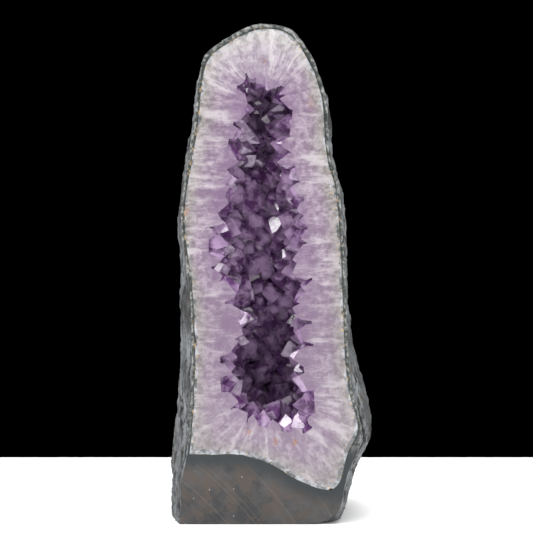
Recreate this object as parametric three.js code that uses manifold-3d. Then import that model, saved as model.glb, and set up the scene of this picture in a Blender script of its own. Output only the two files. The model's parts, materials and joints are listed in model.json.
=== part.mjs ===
// Amethyst cathedral geode: half of a tall basalt nodule, sawn flat in front and underneath so that it
// stands up and shows its lining. Three grown layers lie one inside the other: a basalt shell, a band of
// milky quartz, and the amethyst crystals that fill the hollow. Millimetres, +Z up, +X to the right of
// someone who looks at the sawn face, +Y towards the back. The origin is at the middle of the base.
import * as THREE from "three";
import { mergeVertices } from "three/addons/utils/BufferGeometryUtils.js";
import Module from "manifold-3d";

const wasm = await Module();
wasm.setup();

// Driving dimensions.
const DEPTH = 128; // sawn face to the furthest point of the back, at the foot
const FACE_Y = -DEPTH / 2; // the sawn face's plane
const TOP_DEPTH = 100; // depth of the nodule near its top
const SAW_MARGIN = 6; // how far a cutting shape runs past the sawn face
const CONTACT_GAP = 0.4; // clearance between one layer and the next
const DRUSE_BACKING = 4; // amethyst under the crystals that joins them in one piece
const CRYSTAL_SPACING = 20.5;
const SMALLEST_RADIUS = 6;
const LARGEST_RADIUS = 9.5;
const SEED = 20;

// The sawn face's outline, up the left side, over the top and down the right, as [x, z]. It runs below
// the base, which is sawn off afterwards.
const FACE_OUTLINE = [
  [-34, -14], [-68, -14], [-68, 14], [-68, 34], [-64, 52], [-62, 68], [-61, 94], [-59.5, 120],
  [-60, 146], [-61, 172], [-63, 194], [-67, 216], [-68, 240], [-65.5, 258], [-61, 284], [-57, 308],
  [-54.5, 336], [-51, 355], [-44, 362.5], [-30, 371], [-14, 379], [0, 380], [14, 377], [22.5, 368],
  [31, 355], [38, 337], [43, 314], [42.5, 294], [45, 276], [51, 262], [53, 240], [55, 214],
  [56, 190], [57, 164], [58, 138], [60, 114], [65, 90], [69.5, 72], [67, 58], [59.5, 42],
  [55, 26], [54, 14], [49, 6.5], [37, 1.8], [22, -2], [0, -14],
];
// The same points where the nodule is widest, behind the sawn face.
const WIDEST_OUTLINE = [
  [-39, -14], [-75, -14], [-77, 12], [-77.5, 30], [-77, 50], [-75.5, 64], [-72, 90], [-69.5, 116],
  [-68.5, 142], [-70, 168], [-70.5, 190], [-71, 212], [-70.5, 236], [-69, 254], [-64.5, 280], [-60.5, 304],
  [-57.5, 330], [-53, 348], [-45, 356], [-31, 365], [-15, 373], [0, 374], [14, 371], [23, 362],
  [32, 349], [39.5, 332], [44.5, 310], [45.5, 290], [49, 272], [53.5, 256], [56, 236], [58, 210],
  [60.5, 186], [61.5, 160], [64.5, 134], [70.5, 110], [76.5, 86], [78, 68], [74, 54], [66.5, 38],
  [60, 20], [57, 6], [54, -6], [46, -14], [30, -14], [0, -14],
];
// Where basalt meets quartz on the sawn face.
const CONTACT_OUTLINE = [
  [-62, 54], [-60, 68], [-58.5, 94], [-57.5, 120], [-57.5, 146], [-58.5, 172], [-60.5, 194],
  [-64.5, 216], [-65.5, 240], [-63, 258], [-58.5, 284], [-54.5, 308], [-52, 336], [-48.5, 352],
  [-42, 359], [-29, 367.5], [-13, 375.5], [0, 376.5], [12.5, 373.5], [20, 365.5], [28, 353.5],
  [35.3, 336], [40.2, 314], [40, 294], [42.5, 275], [48.3, 261], [50.3, 240], [52.3, 214], [53.5, 190],
  [54.5, 164], [55.5, 138], [57, 114], [61, 94], [66, 80], [66, 70], [60, 60], [56, 48], [54, 36],
  [49, 27], [38, 27.5], [22, 33], [10, 41], [-4, 49], [-20, 54], [-42, 54],
];
// The hollow's wall on the sawn face, under the crystals.
const HOLLOW_OUTLINE = [
  [-28, 76], [-39, 86], [-42, 102], [-43, 122], [-42, 141], [-38, 156], [-39, 172], [-47, 188],
  [-52, 207], [-50, 230], [-46, 248], [-41, 268], [-38, 287], [-33, 303], [-30, 320], [-30, 337],
  [-21, 348], [-6, 352], [10, 347], [19, 334], [21, 315], [18, 298], [19, 283], [25, 266], [30, 245],
  [32, 222], [34, 200], [36, 182], [34, 162], [37, 142], [36, 118], [37, 95], [38, 76], [28, 64.5],
  [10, 67.5], [-10, 72],
];

// A spine is the line towards which a shape closes as it gets deeper: x and depth at heights z.
const NODULE_SPINE = [
  { z: -14, x: 0, depth: DEPTH },
  { z: 80, x: 0, depth: DEPTH },
  { z: 150, x: -1, depth: DEPTH - 2 },
  { z: 200, x: -3, depth: DEPTH - 8 },
  { z: 250, x: -6, depth: DEPTH - 16 },
  { z: 292, x: -8, depth: TOP_DEPTH },
];
const CONTACT_SPINE = [
  { z: 88, x: 0, depth: DEPTH - 20 },
  { z: 150, x: -1, depth: DEPTH - 21 },
  { z: 200, x: -3, depth: DEPTH - 29 },
  { z: 250, x: -6, depth: DEPTH - 42 },
  { z: 308, x: -8, depth: TOP_DEPTH - 38 },
];
const HOLLOW_SPINE = [
  { z: 96, x: -3, depth: 76 },
  { z: 140, x: -3, depth: 72 },
  { z: 168, x: -3, depth: 55 },
  { z: 215, x: -9, depth: 49 },
  { z: 270, x: -9, depth: 47 },
  { z: 300, x: -7, depth: 54 },
  { z: 326, x: -6, depth: 48 },
];

// A seeded random number from 0 to 1, the same ones on each run.
function seededRandom(seed) {
  let state = seed;
  return () => {
    state = (state + 0x6d2b79f5) | 0;
    let t = Math.imul(state ^ (state >>> 15), 1 | state);
    t = (t + Math.imul(t ^ (t >>> 7), 61 | t)) ^ t;
    return ((t ^ (t >>> 14)) >>> 0) / 4294967296;
  };
}

// Points spread along a smooth closed curve through an outline's points.
function smoothOutline(points, count) {
  const curve = new THREE.CatmullRomCurve3(
    points.map(([x, z]) => new THREE.Vector3(x, 0, z)),
    true,
  );
  return Array.from({ length: count }, (_, i) => {
    const p = curve.getPoint(i / count);
    return new THREE.Vector2(p.x, p.z);
  });
}

// The outline moved inwards by a distance. The outlines run clockwise as seen from the front.
function inset(outline, distance) {
  const n = outline.length;
  return outline.map((p, i) => {
    const along = outline[(i + 1) % n].clone().sub(outline[(i + n - 1) % n]).normalize();
    return new THREE.Vector2(p.x + along.y * distance, p.y - along.x * distance);
  });
}

// The spine's x and depth at a height, and the height itself, kept between the spine's ends.
function onSpine(spine, z) {
  const height = THREE.MathUtils.clamp(z, spine[0].z, spine.at(-1).z);
  const next = Math.max(1, spine.findIndex((s) => s.z >= height));
  const [low, high] = [spine[next - 1], spine[next]];
  const t = (height - low.z) / (high.z - low.z);
  return {
    x: THREE.MathUtils.lerp(low.x, high.x, t),
    z: height,
    depth: THREE.MathUtils.lerp(low.depth, high.depth, t),
  };
}

// One point of a shape: the outline's point drawn in towards the spine, at a share of the depth there.
function pointAt(p, spine, spread, share, depthInset) {
  const s = onSpine(spine, p.y);
  return new THREE.Vector3(
    s.x + (p.x - s.x) * spread,
    FACE_Y + (s.depth - depthInset) * share,
    s.z + (p.y - s.z) * spread,
  );
}

// The faces of a loft's flat front end.
function frontFaces(ring) {
  return THREE.ShapeUtils.triangulateShape(ring.map((p) => new THREE.Vector2(p.x, p.z)), []);
}

// The faces of a loft's back end, which is narrow and bent: a strip from its foot to its top, between the
// ring's left side and its right.
function backFaces(ring) {
  const faces = [];
  let [left, right] = [0, ring.length - 1];
  while (right - left > 1) {
    const leftNext = ring[left + 1].z < ring[right - 1].z;
    faces.push([left, leftNext ? left + 1 : right - 1, right]);
    if (leftNext) left += 1;
    else right -= 1;
  }
  return faces;
}

// A closed solid through rings of points. Each ring runs clockwise as seen from the front, from its foot.
function loft(rings, ends = rings) {
  const n = rings[0].length;
  const last = (rings.length - 1) * n;
  const faces = frontFaces(ends[0]).flat();
  rings.slice(1).forEach((_, k) => {
    for (let i = 0; i < n; i++) {
      const [a, b] = [k * n + i, k * n + ((i + 1) % n)];
      faces.push(a, b, a + n, b, b + n, a + n);
    }
  });
  faces.push(...backFaces(ends.at(-1)).flat().map((corner) => last + corner));
  return solid(new THREE.BufferGeometry().setFromPoints(rings.flat()).setIndex(faces));
}

// A geometry as a solid for joining and cutting.
function solid(geometry) {
  const bare = geometry.clone();
  bare.deleteAttribute("normal");
  bare.deleteAttribute("uv");
  const merged = mergeVertices(bare, 1e-4);
  const corners = Array.from(merged.index.array);
  const kept = corners.filter((_, i) => {
    const [a, b, c] = corners.slice(i - (i % 3), i - (i % 3) + 3);
    return a !== b && b !== c && c !== a;
  });
  return new wasm.Manifold(
    new wasm.Mesh({
      numProp: 3,
      vertProperties: merged.attributes.position.array,
      triVerts: new Uint32Array(kept),
    }),
  );
}

function geometryOf(manifold) {
  const mesh = manifold.getMesh();
  return new THREE.BufferGeometry()
    .setAttribute("position", new THREE.BufferAttribute(mesh.vertProperties, 3))
    .setIndex(new THREE.BufferAttribute(mesh.triVerts, 1));
}

function block([x0, y0, z0], [x1, y1, z1]) {
  const box = new THREE.BoxGeometry(x1 - x0, y1 - y0, z1 - z0);
  return solid(box.translate((x0 + x1) / 2, (y0 + y1) / 2, (z0 + z1) / 2));
}

// The nodule before it is hollowed: it flares behind the sawn face, and then rounds to its back.
const NODULE_POINTS = 66;
const WIDEST_SHARE = 0.36;
const BACK_ROUNDNESS = 2.3;
const BACK_REACH = 0.975; // how far the back's curve runs towards its middle before it ends flat
function nodule() {
  const face = smoothOutline(FACE_OUTLINE, NODULE_POINTS);
  const widest = smoothOutline(WIDEST_OUTLINE, NODULE_POINTS);
  const shares = [0, 0.1, 0.22, WIDEST_SHARE, 0.52, 0.68, 0.82, 0.93, 1];
  const rings = shares.map((share) => {
    const flare = Math.sin((Math.min(share / WIDEST_SHARE, 1) * Math.PI) / 2);
    const beyond = BACK_REACH * Math.max(share - WIDEST_SHARE, 0) / (1 - WIDEST_SHARE);
    const spread = (1 - beyond ** BACK_ROUNDNESS) ** (1 / BACK_ROUNDNESS);
    return face.map((p, i) => {
      const side = p.clone().lerp(widest[i], flare);
      return pointAt(side, NODULE_SPINE, spread, share, 0);
    });
  });
  const base = block([-200, -200, -50], [200, 200, 0]);
  return loft(rings).subtract(base);
}

// A point of a hollow behind an outline on the sawn face, rounded at its back. The angle runs from 0 at
// the sawn face to a right angle at the back.
function hollowPoint(outline, i, spine, angle, roundness, distance) {
  const spread = Math.cos(angle) ** (2 / roundness);
  const share = Math.sin(angle) ** (2 / roundness);
  return pointAt(outline[i], spine, spread, share, distance);
}

const LAST_ANGLE = 84; // where a hollow's rings end and its back begins, in degrees
// A hollow made smaller all round by a distance, and run past the sawn face by a margin. Its ends keep the
// faces it has at full size, so that a hollow and a smaller one stay the distance apart.
function hollow({ outline, spine, roundness, count, steps, margin, distance }) {
  const edge = smoothOutline(outline, count);
  const lastAngle = THREE.MathUtils.degToRad(LAST_ANGLE);
  const ringsAt = (points, by) =>
    Array.from({ length: steps + 1 }, (_, k) =>
      points.map((_, i) => hollowPoint(points, i, spine, (lastAngle * k) / steps, roundness, by)),
    );
  const rings = ringsAt(inset(edge, distance), distance);
  if (margin > 0) rings.unshift(rings[0].map((p) => p.clone().setY(FACE_Y - margin)));
  return loft(rings, ringsAt(edge, 0));
}

function contactHollow(distance, margin) {
  const [count, steps, roundness] = [54, 6, 2.1];
  return hollow({
    outline: CONTACT_OUTLINE, spine: CONTACT_SPINE, roundness, count, steps, margin, distance,
  });
}

const HOLLOW_ROUNDNESS = 2.3;
function crystalHollow(distance) {
  const [count, steps, roundness] = [46, 5, HOLLOW_ROUNDNESS];
  return hollow({
    outline: HOLLOW_OUTLINE, spine: HOLLOW_SPINE, roundness, count, steps, margin: SAW_MARGIN, distance,
  });
}

// A six-sided quartz crystal that grows along +Y, from a root just above the origin: it widens up to its
// shoulder, and its tip is a little off its axis.
const ROOT_HEIGHT = 1.5;
const TIP_RISE = 1.2; // a termination's height over its radius
function crystalGeometry(radius, shoulder, lean) {
  const tip = shoulder + radius * TIP_RISE;
  const corners = [[0, ROOT_HEIGHT], [radius, shoulder], [0, tip]];
  const profile = corners.map(([r, y]) => new THREE.Vector2(r, y));
  const geometry = new THREE.LatheGeometry(profile, 6);
  const position = geometry.attributes.position;
  for (let i = 0; i < position.count; i++) {
    if (position.getY(i) > tip - 0.01) position.setXYZ(i, lean.x, tip, lean.y);
  }
  return geometry;
}

// The crystals that stand out, each with its foot in the hollow as x, depth behind the sawn face and z,
// and the direction it points in.
const LARGE_CRYSTALS = [
  { foot: [-51, 14, 206], towards: [0.8, -0.45, 0.2], radius: 11 },
  { foot: [-7, 68, 107], towards: [0, -1, 0.2], radius: 10.5 },
  { foot: [10, 62, 90], towards: [-0.1, -0.8, 0.6], radius: 10 },
  { foot: [-11, 53, 294], towards: [0.1, -1, 0.1], radius: 11 },
  { foot: [34, 20, 183], towards: [-0.6, -0.7, 0.2], radius: 8 },
  { foot: [-7, 46, 320], towards: [0, -0.9, -0.4], radius: 7.5 },
  { foot: [0, 46, 263], towards: [0, -1, 0.1], radius: 8.5 },
  { foot: [-31, 7, 328], towards: [1, -0.1, -0.1], radius: 7.5 },
  { foot: [20, 6, 306], towards: [-1, -0.1, 0.1], radius: 6.5 },
];
const ROW_ANGLES = [7, 28, 48, 67, 85]; // from the sawn face towards the hollow's back, in degrees
const ROW_STRAY = 0.08; // how far a foot strays from its row's angle, in radians
const FOOT_ANGLES = [0.02, 1.5]; // the least and greatest angle a foot stands at, in radians
const SLOPE_STEP = 0.04; // the step in angle that the wall's slope at a foot is measured over, in radians
const WALL_POINTS = 360;
const CHANCE_TURN = 0.28; // how far a crystal's direction strays from square to the wall
const TIP_STRAY = 0.2; // how far a tip strays from its crystal's axis, over the radius
const UP = new THREE.Vector3(0, 1, 0);

function standing({ foot, direction, radius, shoulder, lean, turn }) {
  const turned = new THREE.Quaternion().setFromAxisAngle(UP, turn);
  turned.premultiply(new THREE.Quaternion().setFromUnitVectors(UP, direction));
  const place = new THREE.Matrix4().compose(foot, turned, new THREE.Vector3(1, 1, 1));
  return solid(crystalGeometry(radius, shoulder, lean)).transform(place.elements);
}

// A row's feet and directions, spread by chance along the line where the row's angle meets the wall.
function rowOfFeet(wall, degrees, spread) {
  const base = THREE.MathUtils.degToRad(degrees);
  const at = (i, angle) =>
    hollowPoint(wall, (i + wall.length) % wall.length, HOLLOW_SPINE, angle, HOLLOW_ROUNDNESS, 0);
  const feet = [];
  let toNext = CRYSTAL_SPACING * spread(0.2, 0.8);
  wall.forEach((_, i) => {
    toNext -= at(i, base).distanceTo(at(i + 1, base));
    if (toNext > 0) return;
    toNext += CRYSTAL_SPACING * spread(0.85, 1.15);
    const angle = THREE.MathUtils.clamp(base + spread(-ROW_STRAY, ROW_STRAY), ...FOOT_ANGLES);
    const foot = at(i, angle);
    const along = at(i + 3, angle).sub(at(i - 3, angle));
    const deeper = at(i, angle + SLOPE_STEP).sub(foot);
    feet.push({ foot, normal: deeper.cross(along).normalize() });
  });
  return feet;
}

// The crystals stand on the hollow's wall in rows, each square to the wall and then turned by chance.
function crystals() {
  const random = seededRandom(SEED);
  const spread = (low, high) => low + (high - low) * random();
  const strayed = (normal, amount) =>
    new THREE.Vector3(spread(-amount, amount), spread(-amount, amount), spread(-amount, amount))
      .add(normal)
      .normalize();
  const leaning = (radius) =>
    new THREE.Vector2(spread(-TIP_STRAY, TIP_STRAY), spread(-TIP_STRAY, TIP_STRAY)).multiplyScalar(radius);
  const large = LARGE_CRYSTALS.map(({ foot: [x, depth, z], towards, radius }) => ({
    foot: new THREE.Vector3(x, FACE_Y + depth, z),
    direction: new THREE.Vector3(...towards).normalize(),
    radius,
    shoulder: DRUSE_BACKING + 2,
    lean: leaning(radius),
    turn: spread(0, Math.PI),
  }));
  const wall = smoothOutline(HOLLOW_OUTLINE, WALL_POINTS);
  const small = ROW_ANGLES.flatMap((degrees) => rowOfFeet(wall, degrees, spread))
    .map(({ foot, normal }) => {
      const radius = spread(SMALLEST_RADIUS, LARGEST_RADIUS);
      const shoulder = DRUSE_BACKING + spread(0, 3);
      return {
        foot, radius, shoulder, direction: strayed(normal, CHANCE_TURN), lean: leaning(radius),
        turn: spread(0, Math.PI),
      };
    })
    .filter(({ foot }) => large.every((one) => one.foot.distanceTo(foot) > one.radius));
  return wasm.Manifold.union([...large, ...small].map(standing));
}

const BASALT = new THREE.MeshStandardMaterial({ color: 0x4a4d4c, roughness: 0.75, metalness: 0 });
const QUARTZ = new THREE.MeshStandardMaterial({ color: 0xcdc2d0, roughness: 0.3, metalness: 0 });
const AMETHYST = new THREE.MeshStandardMaterial({ color: 0x5b3f78, roughness: 0.1, metalness: 0 });

function named(name, manifold, material) {
  const mesh = new THREE.Mesh(geometryOf(manifold), material);
  mesh.name = name;
  return mesh;
}

function basaltShell() {
  return named("basalt_shell", nodule().subtract(contactHollow(0, SAW_MARGIN)), BASALT);
}

function quartzBand() {
  return named("quartz_band", contactHollow(CONTACT_GAP, 0).subtract(crystalHollow(0)), QUARTZ);
}

// The amethyst fills the hollow except for its one open space, so no pocket is shut in between crystals.
function amethystDruse() {
  const filled = crystalHollow(CONTACT_GAP);
  const backing = filled.subtract(crystalHollow(CONTACT_GAP + DRUSE_BACKING));
  const spaces = filled.subtract(backing.add(crystals())).decompose();
  const open = spaces.reduce((a, b) => (a.volume() > b.volume() ? a : b));
  const behindFace = block([-200, FACE_Y, -50], [200, 200, 450]);
  return named("amethyst_druse", filled.subtract(open).intersect(behindFace), AMETHYST);
}

const geode = new THREE.Group();
geode.add(basaltShell(), quartzBand(), amethystDruse());

export default geode;
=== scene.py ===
import json
import math
import random

import bmesh
import bpy
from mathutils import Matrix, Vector

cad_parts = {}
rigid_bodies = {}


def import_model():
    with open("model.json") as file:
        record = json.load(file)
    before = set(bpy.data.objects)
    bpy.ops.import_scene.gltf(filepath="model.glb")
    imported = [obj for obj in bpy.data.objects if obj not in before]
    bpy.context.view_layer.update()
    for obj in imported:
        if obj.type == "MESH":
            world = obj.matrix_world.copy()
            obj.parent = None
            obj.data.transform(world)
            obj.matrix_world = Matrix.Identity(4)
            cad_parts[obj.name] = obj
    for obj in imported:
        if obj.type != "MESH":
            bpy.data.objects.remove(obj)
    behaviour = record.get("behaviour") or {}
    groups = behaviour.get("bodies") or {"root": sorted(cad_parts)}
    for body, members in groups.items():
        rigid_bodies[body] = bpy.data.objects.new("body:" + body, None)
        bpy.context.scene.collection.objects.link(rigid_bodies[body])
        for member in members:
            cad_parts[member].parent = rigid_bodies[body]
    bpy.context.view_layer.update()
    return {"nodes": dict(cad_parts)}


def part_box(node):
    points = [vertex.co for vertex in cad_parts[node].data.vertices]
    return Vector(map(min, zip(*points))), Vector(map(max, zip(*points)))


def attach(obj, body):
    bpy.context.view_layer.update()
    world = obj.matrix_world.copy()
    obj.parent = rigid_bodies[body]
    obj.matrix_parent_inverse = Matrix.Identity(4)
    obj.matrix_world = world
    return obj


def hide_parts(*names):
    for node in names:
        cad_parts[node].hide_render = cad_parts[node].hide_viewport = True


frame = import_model()

# --- Basalt shell ---------------------------------------------------------------------------------
# The rock that the geode grew in: fine-grained basalt, knocked out of the flow with a chisel. Its outside
# is as it broke, dusty and furrowed from top to bottom. The front and the base are sawn flat, and the
# front is polished.
scene = bpy.context.scene
MM = 0.001
TOUCHING = 0.01 * MM
sawn_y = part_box("basalt_shell")[0].y


class Tree:
    """A node tree under construction: nodes by type, with their inputs given as values or as sockets."""

    def __init__(self, tree):
        self.tree = tree

    def node(self, kind, inputs=None, **settings):
        made = self.tree.nodes.new(kind)
        for name, value in settings.items():
            setattr(made, name, value)
        for key, value in (inputs or {}).items():
            self.feed(made.inputs[key], value)
        return made

    def feed(self, socket, value):
        if isinstance(value, bpy.types.NodeSocket):
            self.tree.links.new(value, socket)
        else:
            socket.default_value = value

    def math(self, operation, *values):
        made = self.node("ShaderNodeMath", operation=operation)
        for socket, value in zip(made.inputs, values):
            self.feed(socket, value)
        return made.outputs[0]

    def vector(self, operation, *values, output=0):
        made = self.node("ShaderNodeVectorMath", operation=operation)
        for i, value in enumerate(values):
            self.feed(made.inputs["Scale" if operation == "SCALE" and i == 1 else i], value)
        return made.outputs[output]

    def ramp(self, value, low, high, to_low=0.0, to_high=1.0, smooth=True):
        made = self.node("ShaderNodeMapRange", interpolation_type="SMOOTHSTEP" if smooth else "LINEAR")
        for key, item in zip(("Value", "From Min", "From Max", "To Min", "To Max"),
                             (value, low, high, to_low, to_high)):
            self.feed(made.inputs[key], item)
        return made.outputs["Result"]

    def noise(self, place, scale, detail=3.0, roughness=0.5, stretch=None):
        if stretch:
            place = self.vector("MULTIPLY", place, stretch)
        made = self.node("ShaderNodeTexNoise",
                         {"Vector": place, "Scale": scale, "Detail": detail, "Roughness": roughness})
        return made.outputs["Fac"]

    def uneven(self, pattern, width):
        """A pattern between 0 and 1 as a shift to either side, over a width."""
        return self.math("MULTIPLY", self.math("SUBTRACT", pattern, 0.5), width)

    def up(self, place):
        return self.node("ShaderNodeSeparateXYZ", {0: place}).outputs[2]

    def stored(self, name):
        """In a material: what a Geometry Nodes tree stored on the mesh under a name."""
        return self.node("ShaderNodeAttribute", attribute_name=name).outputs["Fac"]

    def store(self, shape, name, value, kind="FLOAT", domain="POINT"):
        inputs = {"Geometry": shape, "Name": name, "Value": value}
        return self.node("GeometryNodeStoreNamedAttribute", inputs, data_type=kind, domain=domain).outputs[0]

    def read(self, name, kind="FLOAT"):
        found = self.node("GeometryNodeInputNamedAttribute", {"Name": name}, data_type=kind)
        return found.outputs["Attribute"]

    def sharper_than(self, limit):
        """The edges whose faces meet at more than an angle."""
        angle = self.node("GeometryNodeInputMeshEdgeAngle").outputs["Unsigned Angle"]
        return self.node("FunctionNodeCompare", {0: angle, 1: limit}, operation="GREATER_THAN").outputs[0]

    def rounded(self, shape, levels, limit):
        """A subdivided shape that keeps its edges where they are sharper than a limit."""
        return self.node("GeometryNodeSubdivisionSurface",
                         {"Mesh": shape, "Level": levels, "Edge Crease": self.sharper_than(limit)}).outputs[0]

    def geometry_of(self, thing):
        return self.node("GeometryNodeObjectInfo", {"Object": thing}).outputs["Geometry"]

    def faces_of(self, thing):
        """The distance to another object's faces, and the nearest place on them."""
        faces = self.geometry_of(thing)
        return self.node("GeometryNodeProximity", {0: faces}, target_element="FACES").outputs

    def coated(self, shape, material, where=True):
        return self.node("GeometryNodeSetMaterial",
                         {"Geometry": shape, "Selection": where, "Material": material}).outputs[0]

    def realized(self, shape):
        return self.node("GeometryNodeRealizeInstances", {0: shape}).outputs[0]

    def roughen(self, shader, strength, distance, height):
        bump = self.node("ShaderNodeBump", {"Strength": strength, "Distance": distance, "Height": height})
        self.feed(shader.inputs["Normal"], bump.outputs["Normal"])

    def mix(self, factor, a, b):
        made = self.node("ShaderNodeMix", data_type="RGBA")
        for socket, value in ((made.inputs[0], factor), (made.inputs[6], a), (made.inputs[7], b)):
            self.feed(socket, value)
        return made.outputs[2]


def geometry_tree(name, sizes):
    """A Geometry Nodes tree with a geometry input, one named input for each size, and a geometry output."""
    tree = bpy.data.node_groups.new(name, "GeometryNodeTree")
    tree.interface.new_socket("Geometry", in_out="INPUT", socket_type="NodeSocketGeometry")
    kinds = {float: "NodeSocketFloat", int: "NodeSocketInt", bpy.types.Material: "NodeSocketMaterial",
             bpy.types.Object: "NodeSocketObject", bpy.types.Collection: "NodeSocketCollection"}
    for key, value in sizes.items():
        tree.interface.new_socket(key, in_out="INPUT", socket_type=kinds[type(value)])
    tree.interface.new_socket("Geometry", in_out="OUTPUT", socket_type="NodeSocketGeometry")
    t = Tree(tree)
    return t, t.node("NodeGroupInput").outputs, t.node("NodeGroupOutput").inputs


def grown(name, mesh, tree, sizes):
    """The plain mesh object that a tree makes of a mesh, with the tree's inputs set by identifier."""
    source = bpy.data.objects.new(name, mesh)
    scene.collection.objects.link(source)
    modifier = source.modifiers.new(name, "NODES")
    modifier.node_group = tree.tree
    identifiers = {s.name: s.identifier for s in tree.tree.interface.items_tree if s.in_out == "INPUT"}
    for key, value in sizes.items():
        modifier[identifiers[key]] = value
    made = bpy.data.meshes.new_from_object(source.evaluated_get(bpy.context.evaluated_depsgraph_get()))
    source.modifiers.remove(modifier)
    source.data = made
    made.name = name
    return source


def joined_copy(node):
    """A CAD node's mesh as a copy with its loose triangles joined."""
    shape = bmesh.new()
    shape.from_mesh(node.data)
    bmesh.ops.remove_doubles(shape, verts=shape.verts, dist=TOUCHING)
    mesh = bpy.data.meshes.new(node.name)
    shape.to_mesh(mesh)
    shape.free()
    mesh.materials.clear()
    return mesh


def new_material(name):
    """A material with its node tree, its shader and the place that is coloured, from the piece's origin."""
    material = bpy.data.materials.new(name)
    material.use_nodes = True
    t = Tree(material.node_tree)
    shader = material.node_tree.nodes["Principled BSDF"]
    return material, t, shader, t.node("ShaderNodeTexCoord").outputs["Object"]


# The crevice colour is painted shade, laid in the crevices that the basalt tree cuts.
FURROW_DARK, PAINTED_CREVICE_SHADE = (0.022, 0.022, 0.022, 1), (0.012, 0.011, 0.010, 1)
DUST_THIN, DUST_THICK = (0.05, 0.054, 0.058, 1), (0.21, 0.22, 0.23, 1)
IRON_BROWN = (0.085, 0.06, 0.035, 1)


def crust_material():
    """The broken outside: dark furrows that run upwards, grey dust between them, and a little iron."""
    material, t, shader, place = new_material("basalt crust")
    blotch = t.noise(place, 28, 4, 0.6)
    furrow = t.math("ADD", t.math("MULTIPLY", t.noise(place, 1, 5, 0.65, stretch=(150, 150, 40)), 0.5),
                    t.math("MULTIPLY", t.noise(place, 1, 6, 0.75, stretch=(420, 420, 150)), 0.5))
    grain = t.noise(place, 900, 3, 0.7)
    dust = t.mix(t.ramp(blotch, 0.35, 0.65), DUST_THIN, DUST_THICK)
    worn = t.mix(t.ramp(furrow, 0.43, 0.52), FURROW_DARK, dust)
    # Painted shade: the crevices and the seam, already cut into the mesh, are darkened in colour too.
    colour = t.mix(t.ramp(t.stored("crevice"), 0.25, 0.8), worn, PAINTED_CREVICE_SHADE)
    brown = t.ramp(t.noise(place, 60, 3, 0.6), 0.60, 0.72, 0, 0.5)
    t.feed(shader.inputs["Base Color"], t.mix(brown, colour, IRON_BROWN))
    t.feed(shader.inputs["Roughness"], t.ramp(grain, 0.3, 0.7, 0.7, 0.95))
    height = t.math("ADD", t.math("MULTIPLY", furrow, 0.7), t.math("MULTIPLY", grain, 0.3))
    t.roughen(shader, 0.8, 1.2 * MM, height)
    return material


SAWN_DARK, SAWN_PALE = (0.017, 0.019, 0.022, 1), (0.056, 0.053, 0.052, 1)
SAWN_BROWN, SAW_MARK = (0.062, 0.043, 0.031, 1), (0.2, 0.19, 0.18, 1)
FELDSPAR = (0.42, 0.42, 0.41, 1)
BAKED_BLUE, CELADONITE = (0.010, 0.016, 0.020, 1), (0.012, 0.018, 0.017, 1)
WEATHERED_DARK, WEATHERED_PALE = (0.03, 0.036, 0.033, 1), (0.30, 0.30, 0.29, 1)
OCHRE, HOLE_BROWN_AND_SHADE = (0.36, 0.25, 0.13, 1), (0.03, 0.016, 0.008, 1)
SAW_CENTRE = (-0.22, 0, -0.16)         # of the arcs that the round saw left
RIM_HOLE = (-66 * MM, sawn_y, 208 * MM)


def sawn_material():
    """The polished face: mottled dark rock on the foot, and a weathered strip beside the quartz above it."""
    material, t, shader, place = new_material("sawn basalt")
    cloud = t.noise(place, 35, 4, 0.6)
    colour = t.mix(t.ramp(cloud, 0.38, 0.62), SAWN_DARK, SAWN_PALE)
    brown = t.ramp(t.noise(place, 75, 6, 0.75), 0.46, 0.60, 0, 0.75)
    colour = t.mix(brown, colour, SAWN_BROWN)
    cells = t.node("ShaderNodeTexVoronoi", {"Vector": place, "Scale": 210}).outputs["Distance"]
    rare = t.ramp(t.noise(place, 160, 1), 0.58, 0.66)
    colour = t.mix(t.math("MULTIPLY", t.ramp(cells, 0.05, 0.12, 1, 0), rare), colour, FELDSPAR)
    arc = t.vector("DISTANCE", place, SAW_CENTRE, output="Value")
    marks = t.noise(t.node("ShaderNodeCombineXYZ", {"X": arc}).outputs[0], 520, 2, 0.7)
    colour = t.mix(t.ramp(marks, 0.52, 0.7, 0, 0.22), colour, SAW_MARK)

    ragged = t.uneven(t.noise(place, 120, 4, 0.65), 5.0 * MM)
    out = t.math("ADD", t.stored("contact"), ragged)
    above_foot = t.ramp(t.up(place), 0.05, 0.075)
    weathered = t.mix(t.ramp(t.noise(place, 300, 4, 0.65), 0.4, 0.65), WEATHERED_DARK, WEATHERED_PALE)
    colour = t.mix(t.ramp(out, 2 * MM, 16 * MM, 0.9, 0), colour, BAKED_BLUE)
    colour = t.mix(above_foot, colour, weathered)
    colour = t.mix(t.ramp(out, 1.0 * MM, 2.2 * MM, 0.9, 0), colour, CELADONITE)
    speck = t.math("MULTIPLY", t.ramp(t.noise(place, 170, 3, 0.6), 0.55, 0.63),
                   t.ramp(out, 0.8 * MM, 1.6 * MM, 0.8, 0))
    colour = t.mix(t.math("MULTIPLY", speck, above_foot), colour, OCHRE)
    # A hole in the weathered rim, not modelled: a dark brown spot that paints its brown and the shade inside
    # it.
    hole = t.math("ADD", t.vector("DISTANCE", place, RIM_HOLE, output="Value"), ragged)
    colour = t.mix(t.ramp(hole, 2.0 * MM, 4.0 * MM, 0.95, 0), colour, HOLE_BROWN_AND_SHADE)
    t.feed(shader.inputs["Base Color"], colour)
    t.feed(shader.inputs["Roughness"], t.ramp(cloud, 0.3, 0.7, 0.38, 0.55))
    grain = t.noise(place, 1500, 2, 0.6)
    height = t.math("ADD", t.math("MULTIPLY", marks, 0.6), t.math("MULTIPLY", grain, 0.4))
    t.roughen(shader, 0.25, 0.2 * MM, height)
    return material


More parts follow.
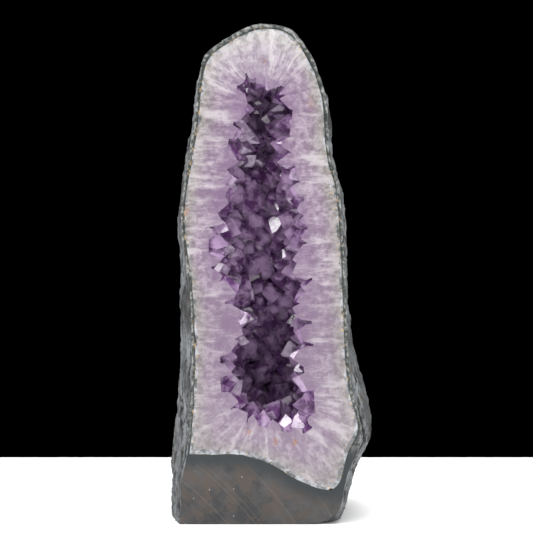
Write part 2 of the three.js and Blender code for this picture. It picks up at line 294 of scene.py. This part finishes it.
basalt_sizes = {
    "Levels": 3, "Crease angle": math.radians(38), "Sawn face": sawn_y, "Fade": 7 * MM, "Lumps": 2.8 * MM,
    "Ridges": 2.6 * MM, "Crevices": 2.2 * MM, "Seam depth": 6.5 * MM, "Seam wander": 16 * MM,
    "Edge wander": 1.4 * MM, "Band": frame["nodes"]["quartz_band"], "Crust": crust_material(),
    "Sawn": sawn_material(),
}
# The line up the middle of the hollow, which tells the rock's outside from its inside.
SPINE_X, SPINE_Y, SPINE_FOOT, SPINE_TOP = -0.004, -0.012, 0.09, 0.3
SQUARE_ON = -0.995                     # a sawn face's normal, towards the front or down


def basalt_tree():
    """Rounds the rock's outside and gives it lumps, ridges, crevices and a seam behind the sawn edge."""
    t, given, out = geometry_tree("basalt shell", basalt_sizes)
    shape = t.rounded(given["Geometry"], given["Levels"], given["Crease angle"])
    place = t.node("GeometryNodeInputPosition").outputs[0]
    normal = t.node("GeometryNodeInputNormal").outputs[0]
    _, y, z = t.node("ShaderNodeSeparateXYZ", {0: place}).outputs
    depth = t.math("SUBTRACT", y, given["Sawn face"])

    level = t.ramp(z, SPINE_FOOT, SPINE_TOP, SPINE_FOOT, SPINE_TOP, smooth=False)
    spine = t.node("ShaderNodeCombineXYZ", {"X": SPINE_X, "Y": SPINE_Y, "Z": level}).outputs[0]
    outward = t.vector("DOT_PRODUCT", normal, t.vector("SUBTRACT", place, spine), output="Value")
    outer = t.math("GREATER_THAN", outward, 0.0)
    above = t.ramp(z, 0.0, given["Fade"])
    free = t.math("MULTIPLY", t.math("MULTIPLY", t.ramp(depth, 0.0, given["Fade"]), above), outer)

    lumps = t.ramp(t.noise(place, 24, 3, 0.5), 0.3, 0.7, -0.8, 0.3)
    ridges = t.ramp(t.noise(place, 1, 4, 0.6, stretch=(110, 110, 15)), 0.3, 0.7, -0.5, 0.5)
    line = t.noise(place, 1, 3, 0.55, stretch=(70, 70, 9))
    crack = t.ramp(t.math("ABSOLUTE", t.math("SUBTRACT", line, 0.5)), 0.0, 0.055, 1.0, 0.0)
    crack = t.math("MULTIPLY", crack, t.ramp(t.noise(place, 30, 2), 0.45, 0.6))
    back = t.math("ADD", depth, t.uneven(t.noise(place, 1, 3, stretch=(30, 30, 22)), given["Seam wander"]))
    off_seam = t.math("ABSOLUTE", t.math("SUBTRACT", back, given["Seam depth"]))
    seam = t.ramp(off_seam, 0.6 * MM, 2.6 * MM, 1.0, 0.0)
    crack = t.math("MAXIMUM", crack, t.math("MULTIPLY", seam, t.ramp(z, 0.03, 0.06)))
    height = t.math("ADD", t.math("MULTIPLY", lumps, given["Lumps"]),
                    t.math("MULTIPLY", ridges, given["Ridges"]))
    height = t.math("SUBTRACT", height, t.math("MULTIPLY", crack, given["Crevices"]))
    moved = t.vector("SCALE", normal, t.math("MULTIPLY", height, free))

    wander = t.ramp(t.noise(place, 85, 3, 0.6), 0.3, 0.7, -0.5, 0.5)
    wander = t.math("MULTIPLY", wander, given["Edge wander"])
    in_face = t.node("ShaderNodeCombineXYZ", {"X": 1.0, "Y": 0.0, "Z": above}).outputs[0]
    flat = t.vector("MULTIPLY", normal, in_face)
    moved = t.vector("ADD", moved, t.vector("SCALE", flat, t.math("MULTIPLY", wander, outer)))

    # Where the crevices are, which the crust material also darkens with painted shade.
    shape = t.store(shape, "crevice", t.math("MULTIPLY", crack, free))
    shape = t.store(shape, "contact", t.faces_of(given["Band"])["Distance"])
    shape = t.node("GeometryNodeSetPosition", {"Geometry": shape, "Offset": moved}).outputs[0]
    shape = t.store(shape, "sharp_edge", t.sharper_than(given["Crease angle"]), "BOOLEAN", "EDGE")
    facing = t.node("ShaderNodeSeparateXYZ", {0: t.node("GeometryNodeInputNormal").outputs[0]}).outputs
    sawn = t.math("MAXIMUM", t.math("LESS_THAN", facing[1], SQUARE_ON),
                  t.math("LESS_THAN", facing[2], SQUARE_ON))
    shape = t.coated(t.realized(shape), given["Crust"])
    t.feed(out["Geometry"], t.coated(shape, given["Sawn"], sawn))
    return t


basalt = grown("basalt_rock", joined_copy(frame["nodes"]["basalt_shell"]), basalt_tree(), basalt_sizes)
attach(basalt, "root")
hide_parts("basalt_shell")

# --- Milky quartz band ----------------------------------------------------------------------------
# The nodule's lining: quartz that grew inwards from the basalt in close fibres square to it, grey and
# milky at first and lilac where it nears the hollow. A skin of agate and green celadonite parts it from
# the rock. Its sawn face is polished flush with the basalt's.
OUTER_DARK, OUTER_PALE = (0.17, 0.155, 0.148, 1), (0.35, 0.325, 0.32, 1)
INNER_DARK, INNER_PALE = (0.19, 0.135, 0.195, 1), (0.37, 0.305, 0.365, 1)
MILK, FIBRE_DARK = (0.52, 0.48, 0.50, 1), (0.13, 0.105, 0.12, 1)
VIOLET, RIM_VIOLET = (0.17, 0.115, 0.18, 1), (0.17, 0.105, 0.19, 1)
DUSKY, SUGAR_WHITE = (0.12, 0.09, 0.12, 1), (0.70, 0.69, 0.69, 1)
# The line up the middle of the hollow that the fibres point to, how far from it their pattern is taken, and
# how quickly it changes along a fibre.
HOLLOW_X, HOLLOW_FOOT, HOLLOW_TOP = -4 * MM, 0.10, 0.32
FIBRE_FOOT, FIBRE_STREAK = 50 * MM, 0.32


def quartz_colour(t, place):
    """The colour of sawn quartz: fibres that run from the rock to the hollow, through cloudy zones."""
    growth = t.stored("growth")
    stage = t.math("ADD", growth, t.uneven(t.noise(place, 55, 4, 0.6), 0.5))
    up = t.up(place)
    level = t.ramp(up, HOLLOW_FOOT, HOLLOW_TOP, HOLLOW_FOOT, HOLLOW_TOP, smooth=False)
    middle = t.node("ShaderNodeCombineXYZ", {"X": HOLLOW_X, "Y": sawn_y, "Z": level}).outputs[0]
    outwards = t.vector("NORMALIZE", t.vector("SUBTRACT", place, middle))
    foot = t.vector("ADD", middle, t.vector("SCALE", outwards, FIBRE_FOOT))
    drawn = t.vector("ADD", foot, t.vector("SCALE", place, FIBRE_STREAK))
    fibre = t.noise(drawn, 620, 3, 0.6)
    sheaf = t.noise(drawn, 115, 4, 0.6)
    mottle = t.noise(place, 240, 4, 0.65)

    outer = t.mix(t.ramp(mottle, 0.3, 0.7), OUTER_DARK, OUTER_PALE)
    inner = t.mix(t.ramp(mottle, 0.3, 0.7), INNER_DARK, INNER_PALE)
    colour = t.mix(t.ramp(stage, 0.05, 0.75), outer, inner)
    colour = t.mix(t.math("MULTIPLY", t.ramp(sheaf, 0.5, 0.66), 0.65), colour, MILK)
    patch = t.ramp(t.noise(drawn, 85, 5, 0.7), 0.46, 0.62, 0, 0.7)
    colour = t.mix(t.math("MULTIPLY", patch, t.ramp(growth, 0.1, 0.6)), colour, VIOLET)
    fine = t.math("MULTIPLY", t.ramp(fibre, 0.5, 0.75), t.ramp(growth, 0.85, 0.3, 0.08, 0.3))
    colour = t.mix(fine, colour, FIBRE_DARK)
    late = t.math("ADD", stage, t.uneven(t.noise(drawn, 110, 4, 0.65), 0.8))
    colour = t.mix(t.ramp(late, 0.85, 1.3, 0, 0.55), colour, RIM_VIOLET)
    colour = t.mix(t.ramp(up, 0.24, 0.12, 0, 0.22), colour, DUSKY)
    pale = t.math("MULTIPLY", t.ramp(up, 0.325, 0.375, 0, 0.4), t.ramp(mottle, 0.3, 0.7, 0.5, 1.0))
    return t.mix(pale, colour, SUGAR_WHITE), fibre


QUARTZ_IOR = 1.54
CHALCEDONY_DARK, CHALCEDONY_PALE = (0.10, 0.105, 0.115, 1), (0.42, 0.43, 0.47, 1)
GREEN_EARTH, RUST = (0.045, 0.062, 0.055, 1), (0.27, 0.12, 0.045, 1)
GLOW, GOLD = (0.22, 0.05, 0.22, 1), (0.50, 0.33, 0.13, 1)
# Where the rust stains are, as x, z and reach in mm, and where light comes through the quartz.
STAINS = [(-17, 71, 2.2), (3, 64, 1.8), (18, 64, 2.0), (-5, 350, 3.0), (30, 319, 3.5), (-65, 240, 3.0)]
GLOW_PLACE = (-31 * MM, sawn_y, 168 * MM)


def band_material():
    material, t, shader, place = new_material("milky quartz")
    colour, fibre = quartz_colour(t, place)
    rind = t.stored("rind")
    uneven = t.math("SUBTRACT", t.noise(place, 150, 5, 0.7), 0.5)
    thicker_low = t.ramp(t.up(place), 0.055, 0.09, 1.8 * MM, 0.0)
    ragged = t.math("SUBTRACT", t.math("ADD", rind, t.math("MULTIPLY", uneven, 10 * MM)), thicker_low)
    layer = t.ramp(t.noise(place, 90, 4, 0.6), 0.4, 0.6)
    chalcedony = t.mix(layer, CHALCEDONY_DARK, CHALCEDONY_PALE)
    colour = t.mix(t.ramp(ragged, 0.8 * MM, 1.9 * MM, 0.8, 0), colour, chalcedony)
    green = t.math("MULTIPLY", t.ramp(ragged, 0.6 * MM, 2.0 * MM, 0.85, 0),
                   t.ramp(t.noise(place, 95, 3, 0.6), 0.50, 0.62))
    colour = t.mix(green, colour, GREEN_EARTH)
    for x, z, reach in STAINS:
        away = t.vector("SUBTRACT", place, (x * MM, sawn_y, z * MM))
        away = t.vector("LENGTH", t.vector("MULTIPLY", away, (1, 1, 0.5)), output="Value")
        away = t.math("ADD", away, t.math("MULTIPLY", uneven, 12 * MM))
        colour = t.mix(t.ramp(away, 0, reach * MM, 0.6, 0), colour, RUST)
    away = t.vector("DISTANCE", place, GLOW_PLACE, output="Value")
    away = t.math("ADD", away, t.math("MULTIPLY", uneven, 20 * MM))
    colour = t.mix(t.ramp(away, 2 * MM, 8 * MM, 0.6, 0), colour, GLOW)
    speck = t.ramp(t.noise(place, 420, 2, 0.5), 0.62, 0.70)
    colour = t.mix(t.math("MULTIPLY", t.ramp(rind, 1.0 * MM, 4.5 * MM, 0.9, 0), speck), colour, GOLD)
    t.feed(shader.inputs["Base Color"], colour)
    t.feed(shader.inputs["Roughness"], t.ramp(fibre, 0.3, 0.7, 0.16, 0.3))
    shader.inputs["IOR"].default_value = QUARTZ_IOR
    return material


band_sizes = {
    "Levels": 3, "Crease angle": math.radians(60), "Rock": basalt, "Hollow": frame["nodes"]["amethyst_druse"],
    "Contact": 1.0 * MM, "Quartz": band_material(),
}


def band_tree():
    """Rounds the band, seats it on the rock, and stores how far it had grown from rock to hollow."""
    t, given, out = geometry_tree("milky quartz band", band_sizes)
    shape = t.rounded(given["Geometry"], given["Levels"], given["Crease angle"])
    to_rock, to_hollow = t.faces_of(given["Rock"]), t.faces_of(given["Hollow"])
    way = t.math("ADD", to_rock["Distance"], to_hollow["Distance"])
    shape = t.store(shape, "on_rock", to_rock["Position"], "FLOAT_VECTOR")
    shape = t.store(shape, "rind", to_rock["Distance"])
    shape = t.store(shape, "growth", t.math("DIVIDE", to_rock["Distance"], way))
    touching = t.math("LESS_THAN", t.read("rind"), given["Contact"])
    shape = t.node("GeometryNodeSetPosition", {"Geometry": shape, "Selection": touching,
                                               "Position": t.read("on_rock", "FLOAT_VECTOR")}).outputs[0]
    shape = t.store(shape, "sharp_edge", t.sharper_than(given["Crease angle"]), "BOOLEAN", "EDGE")
    t.feed(out["Geometry"], t.coated(t.realized(shape), given["Quartz"]))
    return t


band = grown("milky_quartz", joined_copy(frame["nodes"]["quartz_band"]), band_tree(), band_sizes)
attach(band, "root")
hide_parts("quartz_band")

# --- Amethyst crystals ----------------------------------------------------------------------------
# The last growth: six-sided amethyst points, crowded and grown into each other, clear and violet, with
# unequal faces. They root in the milky quartz. Those at the rim were sawn through and polished with it.
SIDES = 6
PRISM_LENGTH, PRISM_ROOT = 6, 1        # in radii of the crystal; the root is below the point it grows from
TIP_DISTANCE = 1.25                    # from the point it grows from to a tip face, in radii
TIP_LEAN = (36, 42)                    # of a tip face from the crystal's axis, in degrees
TIP_TURN = 4                           # either way, in degrees
WIDE_FACE, NARROW_FACE = (0.82, 1.0), (0.95, 1.2)


def crystal(name, draw):
    """A crystal of unit radius that grows up from the origin: a prism with six unequal faces at its top."""
    shape = bmesh.new()
    bmesh.ops.create_cone(shape, cap_ends=True, segments=SIDES, radius1=1, radius2=1, depth=PRISM_LENGTH)
    bmesh.ops.translate(shape, verts=shape.verts, vec=(0, 0, PRISM_LENGTH / 2 - PRISM_ROOT))
    for side in range(SIDES):
        angle = math.radians(60 * side + 30 + draw.uniform(-TIP_TURN, TIP_TURN))
        rise = math.radians(draw.uniform(*TIP_LEAN))
        slope = Vector((math.cos(angle) * math.cos(rise), math.sin(angle) * math.cos(rise), math.sin(rise)))
        reach = draw.uniform(*WIDE_FACE) if side % 2 else draw.uniform(*NARROW_FACE)
        cut = bmesh.ops.bisect_plane(shape, geom=shape.verts[:] + shape.edges[:] + shape.faces[:],
                                     plane_co=slope * reach * TIP_DISTANCE, plane_no=slope, clear_outer=True)
        edges = [e for e in cut["geom_cut"] if isinstance(e, bmesh.types.BMEdge)]
        bmesh.ops.edgeloop_fill(shape, edges=edges)
    bmesh.ops.recalc_face_normals(shape, faces=shape.faces)
    return made_object(name, shape)


def made_object(name, shape):
    """An object of a shape, which is used up."""
    mesh = bpy.data.meshes.new(name)
    shape.to_mesh(mesh)
    shape.free()
    return bpy.data.objects.new(name, mesh)


HOLLOW_MIDDLE = Vector((0, sawn_y, 0.2))
WALL_LEVELS = 2


def hollow_wall():
    """The band's wall round the hollow, rounded, as an open shape with its rim on the sawn plane."""
    shape = bmesh.new()
    shape.from_mesh(joined_copy(frame["nodes"]["quartz_band"]))
    front = [f for f in shape.faces if all(abs(v.co.y - sawn_y) < TOUCHING for v in f.verts)]
    bmesh.ops.delete(shape, geom=front, context="FACES")
    start = min(shape.verts, key=lambda v: (v.co - HOLLOW_MIDDLE).length)
    found, todo = {start}, [start]
    while todo:
        for edge in todo.pop().link_edges:
            fresh = [v for v in edge.verts if v not in found]
            found.update(fresh)
            todo.extend(fresh)
    bmesh.ops.delete(shape, geom=[v for v in shape.verts if v not in found], context="VERTS")
    source = made_object("hollow wall", shape)
    scene.collection.objects.link(source)
    modifier = source.modifiers.new("rounding", "SUBSURF")
    modifier.levels = modifier.render_levels = WALL_LEVELS
    made = bpy.data.meshes.new_from_object(source.evaluated_get(bpy.context.evaluated_depsgraph_get()))
    bpy.data.objects.remove(source)
    return made


def closed_room(name, wall, offset, front_y):
    """A closed solid inside a wall: the wall moved inwards by an offset, and its rim drawn out to a plane."""
    shape = bmesh.new()
    shape.from_mesh(wall)
    shape.normal_update()
    normals = {v: v.normal.copy() for v in shape.verts}
    rim = [e for e in shape.edges if e.is_boundary]
    rim_verts = {v for e in rim for v in e.verts}
    for v, normal in normals.items():
        if v in rim_verts:
            normal = Vector((normal.x, 0, normal.z)).normalized()
        v.co += normal * offset
    if front_y < sawn_y:
        for v in bmesh.ops.extrude_edge_only(shape, edges=rim)["geom"]:
            if isinstance(v, bmesh.types.BMVert):
                v.co.y = front_y
    bmesh.ops.holes_fill(shape, edges=[e for e in shape.edges if e.is_boundary])
    bmesh.ops.recalc_face_normals(shape, faces=shape.faces)
    thing = made_object(name, shape)
    scene.collection.objects.link(thing)
    return thing


# The plug fills the hollow, just clear of the band's wall, so that crystals and band don't share a face. The
# crystals root in the layer between it and the room, the space in the middle that is open to the front.
CLEARANCE, BACKING, ROOM_FRONT = 0.03 * MM, 4.2 * MM, sawn_y - 20 * MM
wall = hollow_wall()
plug = closed_room("plug", wall, CLEARANCE, sawn_y)
room = closed_room("room", wall, BACKING, ROOM_FRONT)

# The crystals that stand out: foot (x, depth behind the sawn face, z) and direction in mm, and radius in mm.
LARGE = [
    ((-51, 14, 206), (0.8, -0.45, 0.2), 11), ((-7, 68, 107), (0, -1, 0.2), 10.5),
    ((10, 62, 90), (-0.1, -0.8, 0.6), 10), ((-11, 53, 294), (0.1, -1, 0.1), 11),
    ((34, 20, 183), (-0.6, -0.7, 0.2), 8), ((-7, 46, 320), (0, -0.9, -0.4), 7.5),
    ((0, 46, 263), (0, -1, 0.1), 8.5), ((-31, 7, 328), (1, -0.1, -0.1), 7.5),
    ((20, 6, 306), (-1, -0.1, 0.1), 6.5),
]
seat_mesh = bpy.data.meshes.new("large seats")
seat_mesh.from_pydata([(x * MM, sawn_y + d * MM, z * MM) for (x, d, z), _, _ in LARGE], [], [])
seat_mesh.attributes.new("towards", "FLOAT_VECTOR", "POINT").data.foreach_set(
    "vector", [c for _, way, _ in LARGE for c in way])
seat_mesh.attributes.new("reach", "FLOAT", "POINT").data.foreach_set("value", [r * MM for _, _, r in LARGE])
seats = bpy.data.objects.new("large seats", seat_mesh)
scene.collection.objects.link(seats)

SHAPES = 8
draw = random.Random(7)
shapes = bpy.data.collections.new("crystal shapes")
scene.collection.children.link(shapes)
for number in range(SHAPES):
    shapes.objects.link(crystal(f"crystal shape {number}", draw))

VEIL_DARK, VEIL_PALE, AMETHYST = (0.15, 0.05, 0.19, 1), (0.66, 0.45, 0.72, 1), (0.42, 0.10, 0.56, 1)
AMETHYST_DENSITY = 95.0


def amethyst_material():
    """Clear facets: partly veiled quartz, with violet that deepens with the thickness."""
    material, t, shader, place = new_material("amethyst")
    veil = t.noise(place, 90, 3, 0.6)
    t.feed(shader.inputs["Base Color"], t.mix(t.ramp(veil, 0.35, 0.65), VEIL_DARK, VEIL_PALE))
    shader.inputs["Roughness"].default_value = 0.06
    shader.inputs["IOR"].default_value = QUARTZ_IOR
    shader.inputs["Transmission Weight"].default_value = 0.5
    shader.inputs["Specular IOR Level"].default_value = 1.0
    t.roughen(shader, 0.15, 0.15 * MM, t.noise(place, 1, 3, 0.6, stretch=(500, 500, 1400)))
    absorb = t.node("ShaderNodeVolumeAbsorption", {"Color": AMETHYST, "Density": AMETHYST_DENSITY})
    t.feed(material.node_tree.nodes["Material Output"].inputs["Volume"], absorb.outputs[0])
    return material


def sawn_amethyst_material():
    """Crystals that were sawn through and polished: the band's quartz, carried on."""
    material, t, shader, place = new_material("sawn amethyst")
    colour, fibre = quartz_colour(t, place)
    t.feed(shader.inputs["Base Color"], colour)
    t.feed(shader.inputs["Roughness"], t.ramp(fibre, 0.3, 0.7, 0.16, 0.3))
    shader.inputs["IOR"].default_value = QUARTZ_IOR
    return material


druse_sizes = {
    "Seats": seats, "Shapes": shapes, "Plug": plug, "Room": room, "Band": frame["nodes"]["quartz_band"],
    "Spacing": 8.9 * MM, "Density": 70000.0, "Seed": 11, "Smallest": 6.0 * MM, "Largest": 10.0 * MM,
    "Clear of large": 9.5 * MM, "Sawn face": sawn_y, "Band width": 30 * MM, "Facets": amethyst_material(),
    "Sawn": sawn_amethyst_material(),
}
LEAN, ANY_WAY = 0.32, 3.1416           # of a crystal from its wall, and round its own axis, in radians
LENGTHENED = (0.9, 1.35)
MORE_SMALL_ONES = 1.3                  # power that the sizes are skewed by
STRAIGHT_ON = -0.999                   # the normal of a face that was sawn off flush


def druse_tree():
    """Stands crystals on the hollow's wall, joins them with their root layer, and saws them off flush."""
    t, given, out = geometry_tree("amethyst crystals", druse_sizes)

    def chance(low, high, salt, kind="FLOAT"):
        made = t.node("FunctionNodeRandomValue", data_type=kind)
        slots = {"FLOAT": (2, 3), "FLOAT_VECTOR": (0, 1), "INT": (4, 5)}[kind]
        for slot, value in zip(slots, (low, high)):
            t.feed(made.inputs[slot], value)
        t.feed(made.inputs["Seed"], t.math("ADD", given["Seed"], float(salt)))
        return made.outputs[{"FLOAT": 1, "FLOAT_VECTOR": 0, "INT": 2}[kind]]

    def boolean(operation, first, *others):
        made = t.node("GeometryNodeMeshBoolean", operation=operation, solver="MANIFOLD")
        if operation == "DIFFERENCE":
            t.feed(made.inputs["Mesh 1"], first)
        else:
            others = (first, *others)
        for other in others:
            t.tree.links.new(other, made.inputs["Mesh 2"])
        return made.outputs["Mesh"]

    def crystals_on(points, salt, turn, scale):
        return t.node("GeometryNodeInstanceOnPoints",
                      {"Points": points, "Instance": picked, "Pick Instance": True, "Rotation": turn,
                       "Instance Index": chance(0, SHAPES - 1, salt, "INT"), "Scale": scale}).outputs[0]

    spread = t.node("GeometryNodeDistributePointsOnFaces",
                    {"Mesh": given["Geometry"], "Distance Min": given["Spacing"],
                     "Density Max": given["Density"], "Seed": given["Seed"]},
                    distribute_method="POISSON").outputs
    large_seats = t.geometry_of(given["Seats"])
    near = t.node("GeometryNodeProximity", {0: large_seats}, target_element="POINTS").outputs["Distance"]
    crowded = t.math("LESS_THAN", near, given["Clear of large"])
    free = t.store(spread["Points"], "stand", spread["Rotation"], "QUATERNION")
    free = t.node("GeometryNodeDeleteGeometry", {"Geometry": free, "Selection": crowded},
                  domain="POINT").outputs[0]
    picked = t.node("GeometryNodeCollectionInfo", {"Collection": given["Shapes"], "Separate Children": True,
                                                   "Reset Children": True}).outputs[0]
    size = t.math("POWER", chance(0.0, 1.0, 1), MORE_SMALL_ONES)
    size = t.ramp(size, 0.0, 1.0, given["Smallest"], given["Largest"], smooth=False)
    length = t.math("MULTIPLY", size, chance(*LENGTHENED, 2))
    scale = t.node("ShaderNodeCombineXYZ", {"X": size, "Y": size, "Z": length}).outputs[0]
    lean = chance((-LEAN, -LEAN, -ANY_WAY), (LEAN, LEAN, ANY_WAY), 3, "FLOAT_VECTOR")
    lean = t.node("FunctionNodeEulerToRotation", {0: lean}).outputs[0]
    turned = t.node("FunctionNodeRotateRotation", {0: t.read("stand", "QUATERNION"), 1: lean},
                    rotation_space="LOCAL").outputs[0]
    small = crystals_on(free, 4, turned, scale)
    aimed = t.node("FunctionNodeAlignRotationToVector", {"Vector": t.read("towards", "FLOAT_VECTOR")},
                   axis="Z").outputs[0]
    seated = t.node("GeometryNodeMeshToPoints", {0: large_seats}).outputs[0]
    large = crystals_on(seated, 5, aimed, t.read("reach"))

    fill = t.geometry_of(given["Plug"])
    backing = boolean("DIFFERENCE", fill, t.geometry_of(given["Room"]))
    shape = boolean("INTERSECT", boolean("UNION", small, large, backing), fill)
    beyond = t.faces_of(given["Band"])["Distance"]
    shape = t.store(shape, "growth", t.math("ADD", 1.0, t.math("DIVIDE", beyond, given["Band width"])))
    facing = t.node("ShaderNodeSeparateXYZ", {0: t.node("GeometryNodeInputNormal").outputs[0]}).outputs
    place = t.node("ShaderNodeSeparateXYZ", {0: t.node("GeometryNodeInputPosition").outputs[0]}).outputs
    at_front = t.math("LESS_THAN", t.math("SUBTRACT", place[1], given["Sawn face"]), TOUCHING)
    sawn = t.math("MULTIPLY", t.math("LESS_THAN", facing[1], STRAIGHT_ON), at_front)
    shape = t.node("GeometryNodeSetShadeSmooth", {"Geometry": shape, "Shade Smooth": False}).outputs[0]
    shape = t.coated(t.realized(shape), given["Facets"])
    t.feed(out["Geometry"], t.coated(shape, given["Sawn"], sawn))
    return t


druse = grown("amethyst_crystals", wall, druse_tree(), druse_sizes)
for helper in [plug, room, seats, *shapes.objects]:
    bpy.data.objects.remove(helper)
bpy.data.collections.remove(shapes)
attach(druse, "root")
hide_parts("amethyst_druse")

# --- Stage ----------------------------------------------------------------------------------------
# A white table top that ends behind the geode, a dark room, a tall soft light on each side, a weak one and
# two small ones in front for the glints in the crystals, and one above for the table.
TABLE_SIDE, TABLE_FRONT, TABLE_BACK = 1.6, -1.3, 0.234
table_mesh = bpy.data.meshes.new("table top")
corners = [(-TABLE_SIDE, TABLE_FRONT, 0), (TABLE_SIDE, TABLE_FRONT, 0), (TABLE_SIDE, TABLE_BACK, 0),
           (-TABLE_SIDE, TABLE_BACK, 0)]
table_mesh.from_pydata(corners, [], [(0, 1, 2, 3)])
table = bpy.data.objects.new("table top", table_mesh)
scene.collection.objects.link(table)
white, _, paint, _ = new_material("white table")
paint.inputs["Base Color"].default_value = (0.9, 0.9, 0.9, 1)
paint.inputs["Roughness"].default_value = 0.6
table_mesh.materials.append(white)

studio = bpy.data.worlds.new("dark studio")
studio.use_nodes = True
studio.node_tree.nodes["Background"].inputs["Color"].default_value = (0.0, 0.0, 0.0, 1)
scene.world = studio
scene.view_settings.view_transform = "Standard"


def soft_light(name, place, aim, width, height, watts):
    lamp = bpy.data.lights.new(name, "AREA")
    lamp.shape = "RECTANGLE"
    lamp.size, lamp.size_y, lamp.energy = width, height, watts
    held = bpy.data.objects.new(name, lamp)
    held.location = place
    held.rotation_euler = (Vector(aim) - Vector(place)).to_track_quat("-Z", "Y").to_euler()
    scene.collection.objects.link(held)


MID_HEIGHT = (0, 0, 0.2)
soft_light("left softbox", (-1.1, -0.75, 0.6), MID_HEIGHT, 0.5, 0.8, 8.7)
soft_light("right softbox", (1.1, -0.75, 0.6), MID_HEIGHT, 0.5, 0.8, 7.4)
soft_light("front softbox", (0.25, -1.5, 1.0), MID_HEIGHT, 0.9, 0.5, 2.5)
soft_light("left spot", (-0.55, -1.35, 0.85), MID_HEIGHT, 0.22, 0.22, 1.3)
soft_light("right spot", (0.6, -1.2, 0.75), MID_HEIGHT, 0.22, 0.22, 1.2)
soft_light("top softbox", (0, -0.15, 1.3), (0, -0.15, 0), 1.4, 1.0, 42)

ELEVATION, DISTANCE, LENS, SENSOR = math.radians(5), 1.7, 152, 36
target = Vector((-0.0034, sawn_y, 0.1976))
camera = bpy.data.cameras.new("camera")
camera.lens = LENS
camera.sensor_width = SENSOR
view = bpy.data.objects.new("camera", camera)
view.location = target + DISTANCE * Vector((0, -math.cos(ELEVATION), math.sin(ELEVATION)))
view.rotation_euler = (target - view.location).to_track_quat("-Z", "Y").to_euler()
scene.collection.objects.link(view)
scene.camera = view
